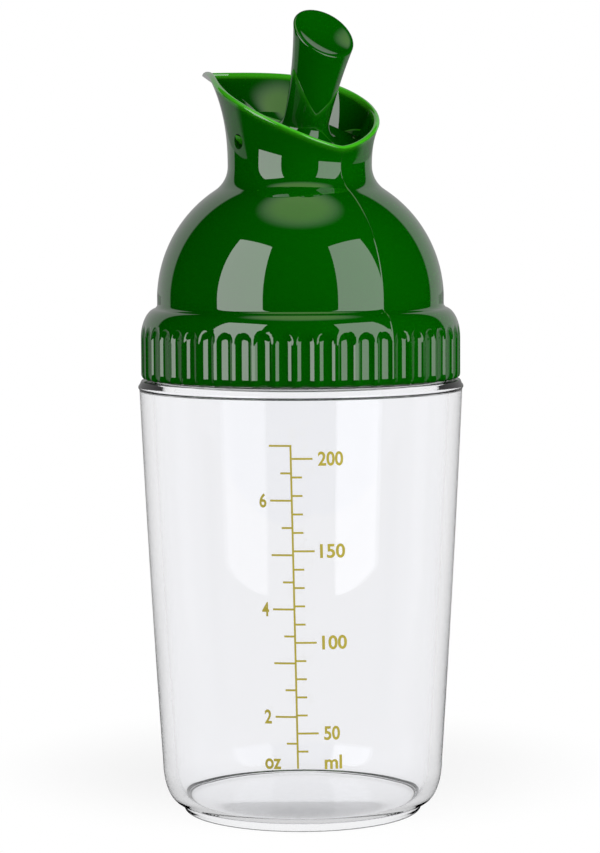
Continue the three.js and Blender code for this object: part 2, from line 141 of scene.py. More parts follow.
class LidSizes(bpy.types.PropertyGroup):
    skirt_radius: length("Skirt radius", 34, "Outer radius of the fluted skirt")
    skirt_straight: length("Skirt straight", 8.6, "Height of the upright part of the skirt")
    shoulder_reach: length("Shoulder reach", 3.5, "Reach of the skirt's rounded shoulder")
    shoulder_rise: length("Shoulder rise", 6.4, "Rise of the skirt's rounded shoulder")
    edge: length("Edge", 0.9, "Rounding of the skirt's bottom edge")
    flutes: bpy.props.IntProperty(name="Flutes", description="Flutes round the skirt", default=50)
    flute_depth: length("Flute depth", 0.6, "Depth of a flute")
    flute_height: length("Flute height", 11.1, "Height of a flute's arched top")
    dome_radius: length("Dome radius", 30.5, "Outer radius of the dome")
    dome_fullness: length("Dome fullness", 2.9, "Distance of the dome arc's centre from the axis")
    dome_lift: length("Dome lift", 1.8, "Height of the dome arc's centre over the skirt")
    wall: length("Wall", 2, "Thickness of the dome")
    neck_radius: length("Neck radius", 15.3, "Outer radius of the neck")
    neck_fillet: length("Neck fillet", 6, "Outer fillet between dome and neck")
    bore_fillet: length("Bore fillet", 1.6, "Inner fillet between dome and bore")
    pivot_hole: length("Pivot hole", 1.6, "Radius of the holes for the lever's pins")
    flash_width: length("Flash width", 0.1, "Half width of the raised mould line")
    flash_height: length("Flash height", 0.05, "Height of the raised mould line")


class CollarSizes(bpy.types.PropertyGroup):
    flare: length("Flare", 1.15, "How far the lip stands out all round")
    side_flare: length("Side flare", 0.65, "How much further it stands out at the sides")
    spout_length: length("Spout length", 22.2, "How far the beak reaches past the flare")
    spout_spread: angle("Spout spread", 20.9, "Angle in which the beak's reach falls away")
    rear_rise: length("Rear rise", 4.1, "Height of the low rear lip over the waist")
    slope_rise: length("Slope rise", 16.7, "Rise of the lip from rear to beak")
    lip: length("Lip", 1.3, "Thickness of the lip")
    slope_fullness: number("Slope fullness", 0.71, "How fast the lip rises from the rear")
    outer_bend: number("Outer bend", 2.3, "Curve of the outer wall")
    inner_bend: number("Inner bend", 1.3, "Curve of the inner wall")


class LeverSizes(bpy.types.PropertyGroup):
    tilt: angle("Tilt", 21.5, "Backward lean of the stem when the valve is shut")
    set_back: length("Set back", 0.8, "Distance of the stem behind the pivot")
    foot_radius: length("Foot radius", 4.8, "Radius of the stem over its fillet")
    flare: length("Flare", 1.4, "How much wider the stem is at the pad")
    flare_bend: number("Flare bend", 2, "Curve of the stem's widening")
    foot_fillet: length("Foot fillet", 4.2, "Fillet between stem and disc")
    stem: length("Stem", 24.2, "Distance from pivot to the middle of the pad")
    pad_slope: angle("Pad slope", 27, "Slope of the pad against the stem")
    widening: number("Widening", 1.12, "Width of the pad against its length")
    dish: length("Dish", 1, "Depth of the pad's dish")
    pad_lip: length("Pad lip", 0.7, "Width of the lip round the dish")
    pad_edge: length("Pad edge", 0.35, "Rounding of the pad's edge")
    disc_above: length("Disc above", 1.6, "Disc surface above the pivot")
    disc_radius: length("Disc radius", 12.75, "Radius of the disc")
    disc_lip: length("Disc lip", 0.9, "Thickness of the lip under the seal")
    lip_inset: length("Lip inset", 0.5, "How much smaller the lip under the seal is")
    pin_radius: length("Pin radius", 1.3, "Radius of the pivot pins")
    pin_reach: length("Pin reach", 15.9, "Reach of the pins from the axis")


class SealSizes(bpy.types.PropertyGroup):
    top: length("Top", 1.8, "Depth of the ring's top under the pivot")
    height: length("Height", 1.2, "Height of the ring")
    width: length("Width", 1.3, "Width of the ring")
    stand: length("Stand", 0.15, "How far the ring stands out from the disc")
    slack: length("Slack", 0.2, "Slack between ring and groove")


class Finishes(bpy.types.PropertyGroup):
    green: colour("Green", (0.0012, 0.112, 0.0003), "Moulded plastic of lid and lever")
    # Painted light: a lighter green put where light shines through the collar's thin lip, and as a highlight
    # on the tops of the lever's pin ends.
    thin_green: colour("Thin green", (0.07, 0.6, 0.015), "The same where it is thin and light comes through")
    ink: colour("Ink", (0.6, 0.5, 0.06), "Printed scale")
    clear: colour("Clear", (0.965, 0.967, 0.98), "Clear plastic of the jar")
    silicone: colour("Silicone", (0.78, 0.78, 0.76), "Sealing rings")


class StageSizes(bpy.types.PropertyGroup):
    view_azimuth: angle("View azimuth", 146, "Direction of the camera, from the spout")
    view_distance: length("View distance", 624, "Camera's distance from the jar's axis")
    view_height: length("View height", 135.2, "Camera's height")
    view_pitch: angle("View pitch", 4.84, "How far the camera looks down")
    view_pan: angle("View pan", 0.02, "How far the camera is turned to its left")
    view_roll: angle("View roll", -0.27, "How far the camera leans")
    lens: length("Lens", 123.66, "Focal length on a 36 mm frame")
    softbox_turn: angle("Softbox turn", 49, "Direction of a softbox from the camera's")
    softbox_height: length("Softbox height", 565, "Height of a softbox's middle")
    softbox_distance: length("Softbox distance", 900, "Distance of a softbox")
    softbox_width: length("Softbox width", 640, "Width of a softbox")
    softbox_tall: length("Softbox tall", 1110, "Height from a softbox's lower edge to its upper edge")
    left_radiance: number("Left radiance", 1.7, "Brightness of the left softbox")
    right_radiance: number("Right radiance", 1.15, "Brightness of the right softbox")
    fill_radiance: number("Fill radiance", 2.8, "Brightness of the fill lamp on matt surfaces")
    fill_turn: angle("Fill turn", 66, "Direction of the fill lamp from the camera's")
    ambient: number("Ambient", 0.24, "Brightness of the room on matt surfaces")
    backdrop: number("Backdrop", 0.33, "Brightness of the backdrop in reflections")
    backdrop_edge: angle("Backdrop edge", 52, "How far the backdrop reaches to each side behind the object")
    ceiling: number("Ceiling", 0.65, "Brightness of the ceiling's glow in reflections")
    paper: number("Paper", 0.2, "Brightness of the floor behind the object in reflections")
    glow: colour("Glow", (0.7, 1, 0.45), "Tint of the ceiling's glow")
    room: colour("Room", (0.3, 0.36, 0.5), "The room before the object as seen through clear plastic")


class ShakerSettings(bpy.types.PropertyGroup):
    jar: bpy.props.PointerProperty(type=JarSizes)
    thread: bpy.props.PointerProperty(type=ThreadSizes)
    scale: bpy.props.PointerProperty(type=ScaleSizes)
    lid: bpy.props.PointerProperty(type=LidSizes)
    collar: bpy.props.PointerProperty(type=CollarSizes)
    lever: bpy.props.PointerProperty(type=LeverSizes)
    seal: bpy.props.PointerProperty(type=SealSizes)
    finish: bpy.props.PointerProperty(type=Finishes)
    stage: bpy.props.PointerProperty(type=StageSizes)


def settings():
    return bpy.context.scene.shaker


# Outlines and turned shapes


def arc(radius, height, across, up, start, stop, steps):
    """(radius, height) points on an elliptical arc, with angles in degrees from the outward direction."""
    turns = [math.radians(start + (stop - start) * i / steps) for i in range(steps + 1)]
    return [(radius + across * math.cos(t), height + up * math.sin(t)) for t in turns]


def line(start, stop, steps):
    return [
        tuple(a + (b - a) * i / steps for a, b in zip(start, stop)) for i in range(steps + 1)
    ]


def spin_outline(bm, verts, edges, steps, turn=ROUND, rise=0.0):
    result = bmesh.ops.spin(
        bm,
        geom=[*verts, *edges],
        cent=(0, 0, 0),
        axis=(0, 0, 1),
        dvec=(0, 0, rise / steps),
        angle=turn,
        steps=steps,
        use_merge=turn == ROUND,
    )
    return result["geom_last"]


def soft_ring(inner, outer, low, high, soft, steps):
    """A ring with a rectangular section, its edges rounded by soft."""
    outline = [
        *arc(outer - soft, low + soft, soft, soft, -90, 0, 4),
        *arc(outer - soft, high - soft, soft, soft, 0, 90, 4),
        *arc(inner + soft, high - soft, soft, soft, 90, 180, 4),
        *arc(inner + soft, low + soft, soft, soft, 180, 270, 4),
    ]
    return turned(outline, steps, closed=True)


def turned(outline, steps, closed=False):
    """A bmesh turned about Z from (radius, height) points."""
    bm = bmesh.new()
    verts = [bm.verts.new((radius, 0, height)) for radius, height in outline]
    edges = [bm.edges.new(pair) for pair in zip(verts, verts[1:])]
    if closed:
        edges.append(bm.edges.new((verts[-1], verts[0])))
    spin_outline(bm, verts, edges, steps)
    tidy(bm)
    return bm


def tidy(bm):
    bmesh.ops.remove_doubles(bm, verts=bm.verts, dist=SAME_PLACE)
    bmesh.ops.dissolve_degenerate(bm, edges=bm.edges, dist=SAME_PLACE / 10)
    bmesh.ops.recalc_face_normals(bm, faces=bm.faces)


def ridge(root_radius, crest_radius, start_angle, start_height, steps=72):
    """One closed thread ridge up a right-hand helix, fading out at both ends."""
    thread = settings().thread
    bite = 0.3 * MM * (1 if crest_radius < root_radius else -1)
    near_crest = 0.05 * MM
    fade_share, least = 0.12, 0.1
    foot = root_radius + bite
    half_root, half_crest = thread.root / 2, thread.crest / 2
    corners = [(foot, -half_root), (foot, half_root)]
    corners += [(crest_radius, half_crest), (crest_radius, -half_crest)]
    rise = thread.lead * thread.turns
    bm = bmesh.new()
    verts = [bm.verts.new((radius, 0, start_height + height)) for radius, height in corners]
    edges = [bm.edges.new(pair) for pair in zip(verts, [*verts[1:], verts[0]])]
    spin_outline(bm, verts, edges, steps, ROUND * thread.turns, rise)
    ends = [edge for edge in bm.edges if edge.is_boundary]
    bmesh.ops.holes_fill(bm, edges=ends, sides=4)
    for vert in bm.verts:
        radius = math.hypot(vert.co.x, vert.co.y)
        if abs(radius - crest_radius) > near_crest:
            continue
        along = (vert.co.z - start_height) / rise
        fade = min(1, max(0, along) / fade_share + least, max(0, 1 - along) / fade_share + least)
        wanted = root_radius + bite * 0.5 + (crest_radius - root_radius - bite * 0.5) * fade
        vert.co.x *= wanted / radius
        vert.co.y *= wanted / radius
    bmesh.ops.rotate(bm, verts=bm.verts, cent=(0, 0, 0), matrix=Matrix.Rotation(start_angle, 3, "Z"))
    bmesh.ops.recalc_face_normals(bm, faces=bm.faces)
    return bm


# Making objects of them


def new_object(name, bm):
    mesh = bpy.data.meshes.new(name)
    bm.to_mesh(mesh)
    bm.free()
    obj = bpy.data.objects.new(name, mesh)
    bpy.context.scene.collection.objects.link(obj)
    return obj


def join_or_cut(obj, tools, operation):
    """Joins tool shapes to obj, or cuts them from it, and removes them."""
    for index, tool in enumerate(tools):
        other = new_object(f"{obj.name}_tool_{index}", tool)
        modifier = obj.modifiers.new("cut", "BOOLEAN")
        modifier.operation = operation
        modifier.solver = "EXACT"
        modifier.object = other
        evaluated = obj.evaluated_get(bpy.context.evaluated_depsgraph_get())
        mesh = bpy.data.meshes.new_from_object(evaluated)
        obj.modifiers.clear()
        obj.data = mesh
        bpy.data.objects.remove(other)


def finish_piece(obj, material, body, node, sharp=35):
    """Smooth shading, one material, and the CAD node that the piece stands for."""
    for polygon in obj.data.polygons:
        polygon.use_smooth = True
    obj.data.set_sharp_from_angle(angle=math.radians(sharp))
    obj.data.materials.clear()
    obj.data.materials.append(material)
    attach(obj, body)
    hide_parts(node)


# Materials


def feed(tree, value, socket):
    """Links an output to an input, or sets the input to a plain value."""
    if isinstance(value, bpy.types.NodeSocket):
        tree.links.new(value, socket)
    else:
        socket.default_value = value


def mixed(tree, factor, first, second, blend="MIX"):
    """A colour from first to second as the factor goes from 0 to 1."""
    node = tree.nodes.new("ShaderNodeMix")
    node.data_type = "RGBA"
    node.blend_type = blend
    for name, value in (("Factor", factor), ("A", first), ("B", second)):
        feed(tree, value, node.inputs[name])
    return node.outputs["Result"]


class Nodes:
    """A new material's node tree, with short calls to add, set and link nodes."""

    def __init__(self, name):
        self.material = bpy.data.materials.new(name)
        self.material.use_nodes = True
        self.tree = self.material.node_tree
        self.shader = self.tree.nodes["Principled BSDF"]
        self.output = self.tree.nodes["Material Output"]

    def add(self, kind, **values):
        node = self.tree.nodes.new(kind)
        for key, value in values.items():
            setattr(node, key, value)
        return node

    def put(self, values):
        """Sets the shader's inputs."""
        for name, value in values.items():
            feed(self.tree, value, self.shader.inputs[name])

    def link(self, source, target):
        self.tree.links.new(source, target)

    def noise(self, scale, detail):
        place = self.add("ShaderNodeTexCoord")
        noise = self.add("ShaderNodeTexNoise")
        noise.inputs["Scale"].default_value = scale
        noise.inputs["Detail"].default_value = detail
        self.link(place.outputs["Object"], noise.inputs["Vector"])
        return noise.outputs["Fac"]

    def ramp(self, source, low, high):
        """Source, from 0 to 1, turned into a value from low to high."""
        spread = self.add("ShaderNodeMapRange")
        spread.inputs["To Min"].default_value = low
        spread.inputs["To Max"].default_value = high
        self.link(source, spread.inputs["Value"])
        return spread.outputs["Result"]

    def bump(self, source, strength, distance):
        bump = self.add("ShaderNodeBump")
        bump.inputs["Strength"].default_value = strength
        bump.inputs["Distance"].default_value = distance
        self.link(source, bump.inputs["Height"])
        self.link(bump.outputs["Normal"], self.shader.inputs["Normal"])


def rgba(value):
    return (*value, 1)


def moulded_green():
    """High-gloss moulded plastic with a faint flow mottle, painted lighter green where an attribute marks
    painted light: light shining through the collar's thin lip, and a highlight on the lever's pin ends.
    """
    finish = settings().finish
    nodes = Nodes("moulded_green")
    painted_light = nodes.add("ShaderNodeAttribute", attribute_name="painted_light").outputs["Fac"]
    plain = mixed(nodes.tree, painted_light, rgba(finish.green), rgba(finish.thin_green))
    flow = nodes.ramp(nodes.noise(60, 3), 0, 0.6)
    nodes.bump(nodes.noise(90, 2), 0.03, 0.0003)
    nodes.put({
        "Base Color": mixed(nodes.tree, flow, plain, (0.72, 0.8, 0.72, 1), "MULTIPLY"),
        "Roughness": nodes.ramp(nodes.noise(220, 4), 0.02, 0.05),
        "IOR": 1.5,
        "Coat Weight": 1.0,
        "Coat Roughness": 0.01,
        "Coat IOR": 1.95,
    })
    return nodes.material


def clear_shell():
    """Clear plastic that bends what lies behind it."""
    nodes = Nodes("clear_shell")
    nodes.put({
        "Base Color": rgba(settings().finish.clear),
        "Transmission Weight": 1.0,
        "IOR": 1.5,
        "Specular IOR Level": 0.2,
        "Roughness": nodes.ramp(nodes.noise(30, 2), 0.0, 0.012),
    })
    return nodes.material


def gold_ink():
    """Gold printing ink, a little uneven as screened ink is."""
    nodes = Nodes("gold_ink")
    ink = settings().finish.ink
    uneven = mixed(nodes.tree, nodes.noise(900, 3), rgba(ink), rgba([part * 0.8 for part in ink]))
    nodes.put({"Base Color": uneven, "Roughness": 0.4})
    nodes.bump(nodes.noise(2500, 2), 0.2, 0.00002)
    return nodes.material


def white_silicone():
    """Soft translucent white sealing rubber."""
    nodes = Nodes("white_silicone")
    nodes.put({
        "Base Color": rgba(settings().finish.silicone),
        "Subsurface Weight": 0.4,
        "Subsurface Radius": (0.002, 0.002, 0.002),
        "Roughness": nodes.ramp(nodes.noise(150, 3), 0.4, 0.55),
    })
    nodes.bump(nodes.noise(800, 2), 0.1, 0.0001)
    return nodes.material


def material(make):
    return bpy.data.materials.get(make.__name__) or make()


# Jar


def body_radius(height):
    jar = settings().jar
    bottom = jar.foot_height + jar.corner_height
    share = min(1, max(0, (height - bottom) / (jar.top_height - bottom)))
    return jar.base_radius + (jar.top_radius - jar.base_radius) * share + jar.bulge * 4 * share * (1 - share)


def ledge_height():
    jar = settings().jar
    return jar.top_height + jar.bead_height + jar.ledge_bevel


def jar_outline():
    jar = settings().jar
    bottom = jar.foot_height + jar.corner_height
    corner = jar.foot_radius + jar.foot_step
    ledge = ledge_height()
    mouth = JAR_HIGH.z
    bead = jar.top_radius + jar.bead_stand
    bead_top = jar.top_height + jar.bead_height
    inner = jar.neck_radius - jar.neck_wall
    blend_bottom = ledge - jar.neck_blend
    blend_reach = (body_radius(blend_bottom) - jar.wall - inner) / 2
    fillet_height = jar.floor + jar.fillet_rise
    fillet_radius = body_radius(fillet_height) - jar.wall - jar.fillet_reach
    mouth_round = jar.neck_wall / 4
    soft = 0.25 * MM
    rows = 16
    heights = [bottom + (jar.top_height - bottom) * i / rows for i in range(1, rows + 1)]
    heights.insert(-1, jar.top_height - soft)
    inner_heights = [blend_bottom + (fillet_height - blend_bottom) * i / rows for i in range(1, rows + 1)]
    inner_heights.insert(0, blend_bottom - soft)
    return [
        (0, 0),
        *arc(jar.foot_radius - 2 * soft, 2 * soft, 2 * soft, 2 * soft, -90, 0, 4),
        (jar.foot_radius, jar.foot_height - soft),
        *arc(jar.foot_radius + soft, jar.foot_height - soft, soft, soft, 180, 90, 3)[1:],
        *arc(corner, bottom, jar.base_radius - corner, jar.corner_height, -90, 0, 14),
        *[(body_radius(height), height) for height in heights],
        *arc(bead - soft, jar.top_height + 2 * soft, soft, soft, -60, 0, 3),
        *arc(bead - 2 * soft, bead_top - soft, 2 * soft, 2 * soft, 0, 60, 3),
        *arc(bead - jar.ledge_bevel / 2 - soft, ledge - soft, soft, soft, 45, 90, 2),
        *arc(jar.neck_radius + soft, ledge + soft, soft, soft, 270, 180, 3),
        *arc(jar.neck_radius - mouth_round, mouth - mouth_round, mouth_round, mouth_round, 0, 90, 5),
        *arc(inner + mouth_round, mouth - mouth_round, mouth_round, mouth_round, 90, 180, 5),
        *arc(inner + blend_reach, ledge, blend_reach, jar.neck_blend / 2, 180, 270, 8),
        *arc(inner + blend_reach, blend_bottom, blend_reach, jar.neck_blend / 2, 90, 0, 8)[1:],
        *[(body_radius(height) - jar.wall, height) for height in inner_heights],
        *arc(fillet_radius, fillet_height, jar.fillet_reach, jar.fillet_rise, 0, -90, 14)[1:],
        (0, jar.floor),
    ]


class SHAKER_OT_jar(bpy.types.Operator):
    """Turn the clear jar and join its screw thread"""

    bl_idname = "shaker.jar"
    bl_label = "Jar"

    def execute(self, context):
        sizes = settings()
        obj = new_object("clear_jar", turned(jar_outline(), 192))
        root = sizes.jar.neck_radius
        start = ledge_height() + sizes.thread.lift
        ridges = [ridge(root, root + sizes.thread.depth, turn, start) for turn in (0, math.pi)]
        join_or_cut(obj, ridges, "UNION")
        finish_piece(obj, material(clear_shell), "jar", "jar")
        return {"FINISHED"}


# Volume scale


def scale_height(millilitres):
    scale = settings().scale
    return scale.zero + scale.per_ml * millilitres


def scale_top():
    return scale_height(7 * OUNCE)


def stroke(bm, left, right, bottom, top, across=1, up=1):
    """A flat bar of ink, cut into parts that bend: x runs round the jar, y up it and z out of it."""
    grid = bmesh.ops.create_grid(bm, x_segments=across, y_segments=up, size=0.5)["verts"]
    bmesh.ops.scale(bm, verts=grid, vec=(right - left, top - bottom, 1))
    bmesh.ops.translate(bm, verts=grid, vec=((left + right) / 2, (bottom + top) / 2, 0))
    faces = list({face for vert in grid for face in vert.link_faces})
    raised = bmesh.ops.extrude_face_region(bm, geom=faces, use_keep_orig=True)["geom"]
    verts = [item for item in raised if isinstance(item, bmesh.types.BMVert)]
    bmesh.ops.translate(bm, verts=verts, vec=(0, 0, settings().scale.ink))


def lettering(bm, text, left, bottom, height, width):
    """Text of a given size as flat ink, its lower left corner at left, bottom."""
    half_depth = 0.1
    curve = bpy.data.curves.new("lettering", "FONT")
    curve.body = text
    curve.resolution_u = 6
    curve.offset = 0.024
    curve.extrude = half_depth
    obj = bpy.data.objects.new("lettering", curve)
    bpy.context.scene.collection.objects.link(obj)
    mesh = bpy.data.meshes.new_from_object(obj.evaluated_get(bpy.context.evaluated_depsgraph_get()))
    letters = bmesh.new()
    letters.from_mesh(mesh)
    tidy(letters)
    letters.to_mesh(mesh)
    letters.free()
    xs = [vert.co.x for vert in mesh.vertices]
    ys = [vert.co.y for vert in mesh.vertices]
    depth = settings().scale.ink / (2 * half_depth)
    mesh.transform(Matrix.Translation((-min(xs), -min(ys), half_depth)))
    mesh.transform(Matrix.Diagonal((width / (max(xs) - min(xs)), height / (max(ys) - min(ys)), depth, 1)))
    mesh.transform(Matrix.Translation((left, bottom, 0)))
    bm.from_mesh(mesh)
    bpy.data.objects.remove(obj)
    bpy.data.curves.remove(curve)
    bpy.data.meshes.remove(mesh)


def bend_round_jar(bm):
    scale = settings().scale
    top = scale_top()
    for vert in bm.verts:
        along, height, out = vert.co
        surface = body_radius(height) + scale.gap
        lean = scale.lean * ((top - height) / (top - scale.bottom) - 0.5)
        turn = scale.azimuth + lean + along / surface
        radius = surface + out
        vert.co = (radius * math.cos(turn), radius * math.sin(turn), height)


class SHAKER_OT_scale(bpy.types.Operator):
    """Print the volume scale on the jar: upright line, marks and numerals"""

    bl_idname = "shaker.volume_scale"
    bl_label = "Volume scale"

    def execute(self, context):
        scale = settings().scale
        half = scale.line / 2
        bm = bmesh.new()
        beside = half * 1.001
        stroke(bm, -half, half, scale.bottom, scale_top() + half, 1, 8)
        for volume in range(40, 201, 10):
            size = scale.short_mark if volume % 50 else scale.long_mark
            height = scale_height(volume)
            stroke(bm, beside, size, height - half, height + half, 3)
        for halves in range(3, 15):
            size = scale.short_mark if halves % 2 else scale.long_mark
            height = scale_height(halves / 2 * OUNCE)
            stroke(bm, -size, -beside, height - half, height + half, 3)
        bmesh.ops.recalc_face_normals(bm, faces=bm.faces)
        tall, wide = scale.digit_height, scale.digit_width
        for volume in (50, 100, 150, 200):
            digits = len(str(volume))
            bottom = scale_height(volume) - tall / 2
            lettering(bm, str(volume), scale.right_gap, bottom, tall, (digits * 1.28 - 0.28) * wide)
        for ounces in (2, 4, 6):
            bottom = scale_height(ounces * OUNCE) - tall / 2
            lettering(bm, str(ounces), -scale.left_gap - wide, bottom, tall, wide)
        unit_bottom = scale.bottom - 0.2 * MM
        lettering(bm, "oz", -scale.left_gap - 1.1 * wide, unit_bottom, tall * 0.77, 2.3 * wide)
        lettering(bm, "ml", scale.right_gap, unit_bottom, tall, 2.5 * wide)
        bend_round_jar(bm)
        obj = new_object("printed_scale", bm)
        finish_piece(obj, material(gold_ink), "jar", "volume_scale")
        return {"FINISHED"}


# Lid

FIXED, SKIRT, OUTER, LIP, INNER = range(5)


def dome_height():
    lid = settings().lid
    return LID_LOW.z + lid.skirt_straight + lid.shoulder_rise + lid.dome_lift


def fillet_turn(arc_radius, neck_radius, fillet):
    """Angle up the dome's arc at which a fillet to a neck starts, in degrees."""
    across = neck_radius + fillet - settings().lid.dome_fullness
    return math.degrees(math.acos(across / (arc_radius + fillet)))


def fillet_height(arc_radius, neck_radius, fillet):
    """Height at which a fillet between the dome and a neck becomes the straight neck."""
    across = neck_radius + fillet - settings().lid.dome_fullness
    return dome_height() + math.sqrt((arc_radius + fillet) ** 2 - across**2)


def waist_height():
    lid = settings().lid
    return fillet_height(lid.dome_radius - lid.dome_fullness, lid.neck_radius, lid.neck_fillet)


def from_spout(turn):
    return abs((turn + math.pi) % ROUND - math.pi)


def lip_radius(turn):
    collar = settings().collar
    flare = collar.flare + collar.side_flare * math.sin(turn) ** 2
    beak = collar.spout_length * math.exp(-from_spout(turn) / collar.spout_spread)
    return settings().lid.neck_radius + flare + beak


def lip_height(turn):
    collar = settings().collar
    openness = math.cos(turn / 2) ** 2
    return waist_height() + collar.rear_rise + collar.slope_rise * openness**collar.slope_fullness


def lip_inner_radius(turn):
    """The lip keeps its thickness square to its edge, also along the slanting sides of the beak."""
    step = 0.01
    away = from_spout(turn)
    slope = (lip_radius(away + step) - lip_radius(away)) / step
    radius = lip_radius(turn)
    return radius - settings().collar.lip * math.hypot(1, slope / radius)


def bore_radius():
    lid = settings().lid
    return lid.neck_radius - lid.wall


def collar_point(zone, share, turn):
    """Radius and height on the collar; share runs up the outer wall, over the lip or down inside."""
    sizes = settings()
    collar, lid = sizes.collar, sizes.lid
    outer, inner = lip_radius(turn), lip_inner_radius(turn)
    edge = lip_height(turn) - collar.lip / 2
    if zone == OUTER:
        radius = lid.neck_radius + (outer - lid.neck_radius) * share**collar.outer_bend
        return radius, waist_height() + (edge - waist_height()) * share
    if zone == LIP:
        around = share * math.pi
        middle, reach = (outer + inner) / 2, (outer - inner) / 2
        return middle + reach * math.cos(around), edge + collar.lip / 2 * math.sin(around)
    bore = bore_radius()
    shut = PIVOT.z + bore * math.cos(turn) * math.tan(sizes.lever.tilt) - sizes.seal.top / 2
    radius = bore + (inner - bore) * (1 - share) ** collar.inner_bend
    return radius, edge + (shut - edge) * share


def lid_outline():
    """(radius, height, zone, share) points: up the outside, over the lip at the spout, down the inside."""
    sizes = settings()
    lid, thread = sizes.lid, sizes.thread
    bottom = LID_LOW.z
    skirt_top = bottom + lid.skirt_straight
    shoulder = lid.skirt_radius - lid.shoulder_reach
    bore = sizes.jar.neck_radius + thread.depth + thread.clearance
    ledge = GASKET_HIGH.z + GASKET_LOW.z - JAR_HIGH.z
    outer_arc = lid.dome_radius - lid.dome_fullness
    inner_arc = outer_arc - lid.wall
    outer_turn = fillet_turn(outer_arc, lid.neck_radius, lid.neck_fillet)
    inner_turn = fillet_turn(inner_arc, bore_radius(), lid.bore_fillet)
    shoulder_turn = math.degrees(math.acos((lid.dome_radius - shoulder + lid.edge / 2) / lid.shoulder_reach))
    bore_bottom = fillet_height(inner_arc, bore_radius(), lid.bore_fillet)
    middle = dome_height()
    crease_top, crease_middle, crease_out = 1.6 * MM, 0.9 * MM, 0.3 * MM
    crease_across, crease_up = 0.32 * MM, 0.7 * MM
    crease_height = middle - lid.dome_lift + crease_middle
    crease_turn = math.degrees(math.asin((lid.dome_lift - crease_top) / outer_arc))
    neck, throat = lid.neck_radius + lid.neck_fillet, bore_radius() + lid.bore_fillet

    def fixed(points, zone=FIXED):
        return [(radius, height, zone, 0.0) for radius, height in points]

    def collar(zone, steps):
        return [(*collar_point(zone, i / steps, 0.0), zone, i / steps) for i in range(1, steps + 1)]

    edge = lid.edge
    corner = arc(lid.skirt_radius - edge, bottom + edge, edge, edge, -90, 0, 5)
    wall = line((lid.skirt_radius, bottom + edge), (lid.skirt_radius, skirt_top), 10)[1:]
    top = arc(shoulder, skirt_top, lid.shoulder_reach, lid.shoulder_rise, 0, shoulder_turn, 14)[1:]
    crease = arc(lid.dome_radius + crease_out, crease_height, crease_across, crease_up, 250, 180, 4)
    dome = arc(lid.dome_fullness, middle, outer_arc, outer_arc, -crease_turn, outer_turn, 24)
    fillet = arc(neck, waist_height(), lid.neck_fillet, lid.neck_fillet, 180 + outer_turn, 180, 8)
    bore_curve = arc(throat, bore_bottom, lid.bore_fillet, lid.bore_fillet, 180, 180 + inner_turn, 4)
    return [
        *fixed(corner, SKIRT),
        *fixed(wall, SKIRT),
        *fixed(top, SKIRT),
        *fixed(crease),
        *fixed(dome[1:]),
        *fixed(fillet[1:]),
        *collar(OUTER, 12),
        *collar(LIP, 7),
        *collar(INNER, 12),
        *fixed(bore_curve),
        *fixed(arc(lid.dome_fullness, middle, inner_arc, inner_arc, inner_turn, 0, 10)[1:]),
        *fixed([(lid.dome_radius - lid.wall, ledge), (bore, ledge)]),
        *fixed([(bore, bottom + edge / 2), (bore + edge / 2, bottom)]),
    ]


def flute_inset(turn, height):
    """How far the skirt is scooped in: flutes on five sixths of it, flat in the middle, with arched tops."""
    lid = settings().lid
    flatness = 3
    pitch = ROUND / lid.flutes
    half = lid.skirt_radius * pitch / 2 * 5 / 6
    across = ((turn / pitch) % 1 - 0.5) * pitch * lid.skirt_radius / half
    over = max(0, height - (LID_LOW.z + lid.flute_height - half)) / half
    return lid.flute_depth * max(0, 1 - math.hypot(across, over) ** flatness)


def shape_lid(bm, zones, shares):
    """Moves the turned outline's points to the fluted skirt and the flared, sloping collar."""
    light_reach = 1.5 * settings().collar.lip
    painted_light = bm.verts.layers.float.new("painted_light")
    for vert in bm.verts:
        zone, share = vert[zones], vert[shares]
        turn = math.atan2(vert.co.y, vert.co.x)
        radius, height = math.hypot(vert.co.x, vert.co.y), vert.co.z
        if zone == SKIRT:
            radius -= flute_inset(turn, height)
        if zone in (OUTER, LIP, INNER):
            radius, height = collar_point(zone, share, turn)
            drop = lip_height(turn) - height
            # Painted light: the lip and a band just under it are marked to be painted a lighter green,
            # standing in for light that shines through the thin plastic.
            vert[painted_light] = 1 if zone == LIP else max(0, 1 - drop / light_reach) ** 2
        vert.co = (radius * math.cos(turn), radius * math.sin(turn), height)


def raise_mould_line(bm):
    """A fine raised line down the front and the rear, where the mould's halves met."""
    lid = settings().lid
    near, on_line = 2 * MM, 0.001 * MM
    for side in (-1, 1):
        faces = [f for f in bm.faces if abs(f.calc_center_median().y) < near]
        edges = {e for f in faces for e in f.edges}
        verts = {v for f in faces for v in f.verts}
        bmesh.ops.bisect_plane(
            bm, geom=[*faces, *edges, *verts], plane_co=(0, side * lid.flash_width, 0), plane_no=(0, 1, 0)
        )
    bm.normal_update()
    line_verts = [v for v in bm.verts if abs(v.co.y) < on_line and faces_out(v)]
    moves = {vert: vert.normal * lid.flash_height for vert in line_verts}
    for vert, move in moves.items():
        vert.co += move


def faces_out(vert):
    """Whether a vertex in the mould plane is on the lid's outer skin."""
    away = Vector((vert.co.x, 0, 0))
    lip_share = 0.6
    below_lip = vert.co.z < lip_height(math.atan2(0, vert.co.x)) - settings().collar.lip * lip_share
    return vert.normal.dot(away) > 0 and below_lip and vert.co.z > LID_LOW.z + settings().lid.edge


def cylinder(radius, low, high, segments, turn):
    """A round bar along Z, then turned by a matrix."""
    bm = bmesh.new()
    bmesh.ops.create_cone(
        bm, cap_ends=True, segments=segments, radius1=radius, radius2=radius, depth=high - low
    )
    bmesh.ops.translate(bm, verts=bm.verts, vec=(0, 0, (high + low) / 2))
    bmesh.ops.transform(bm, matrix=turn, verts=bm.verts)
    return bm


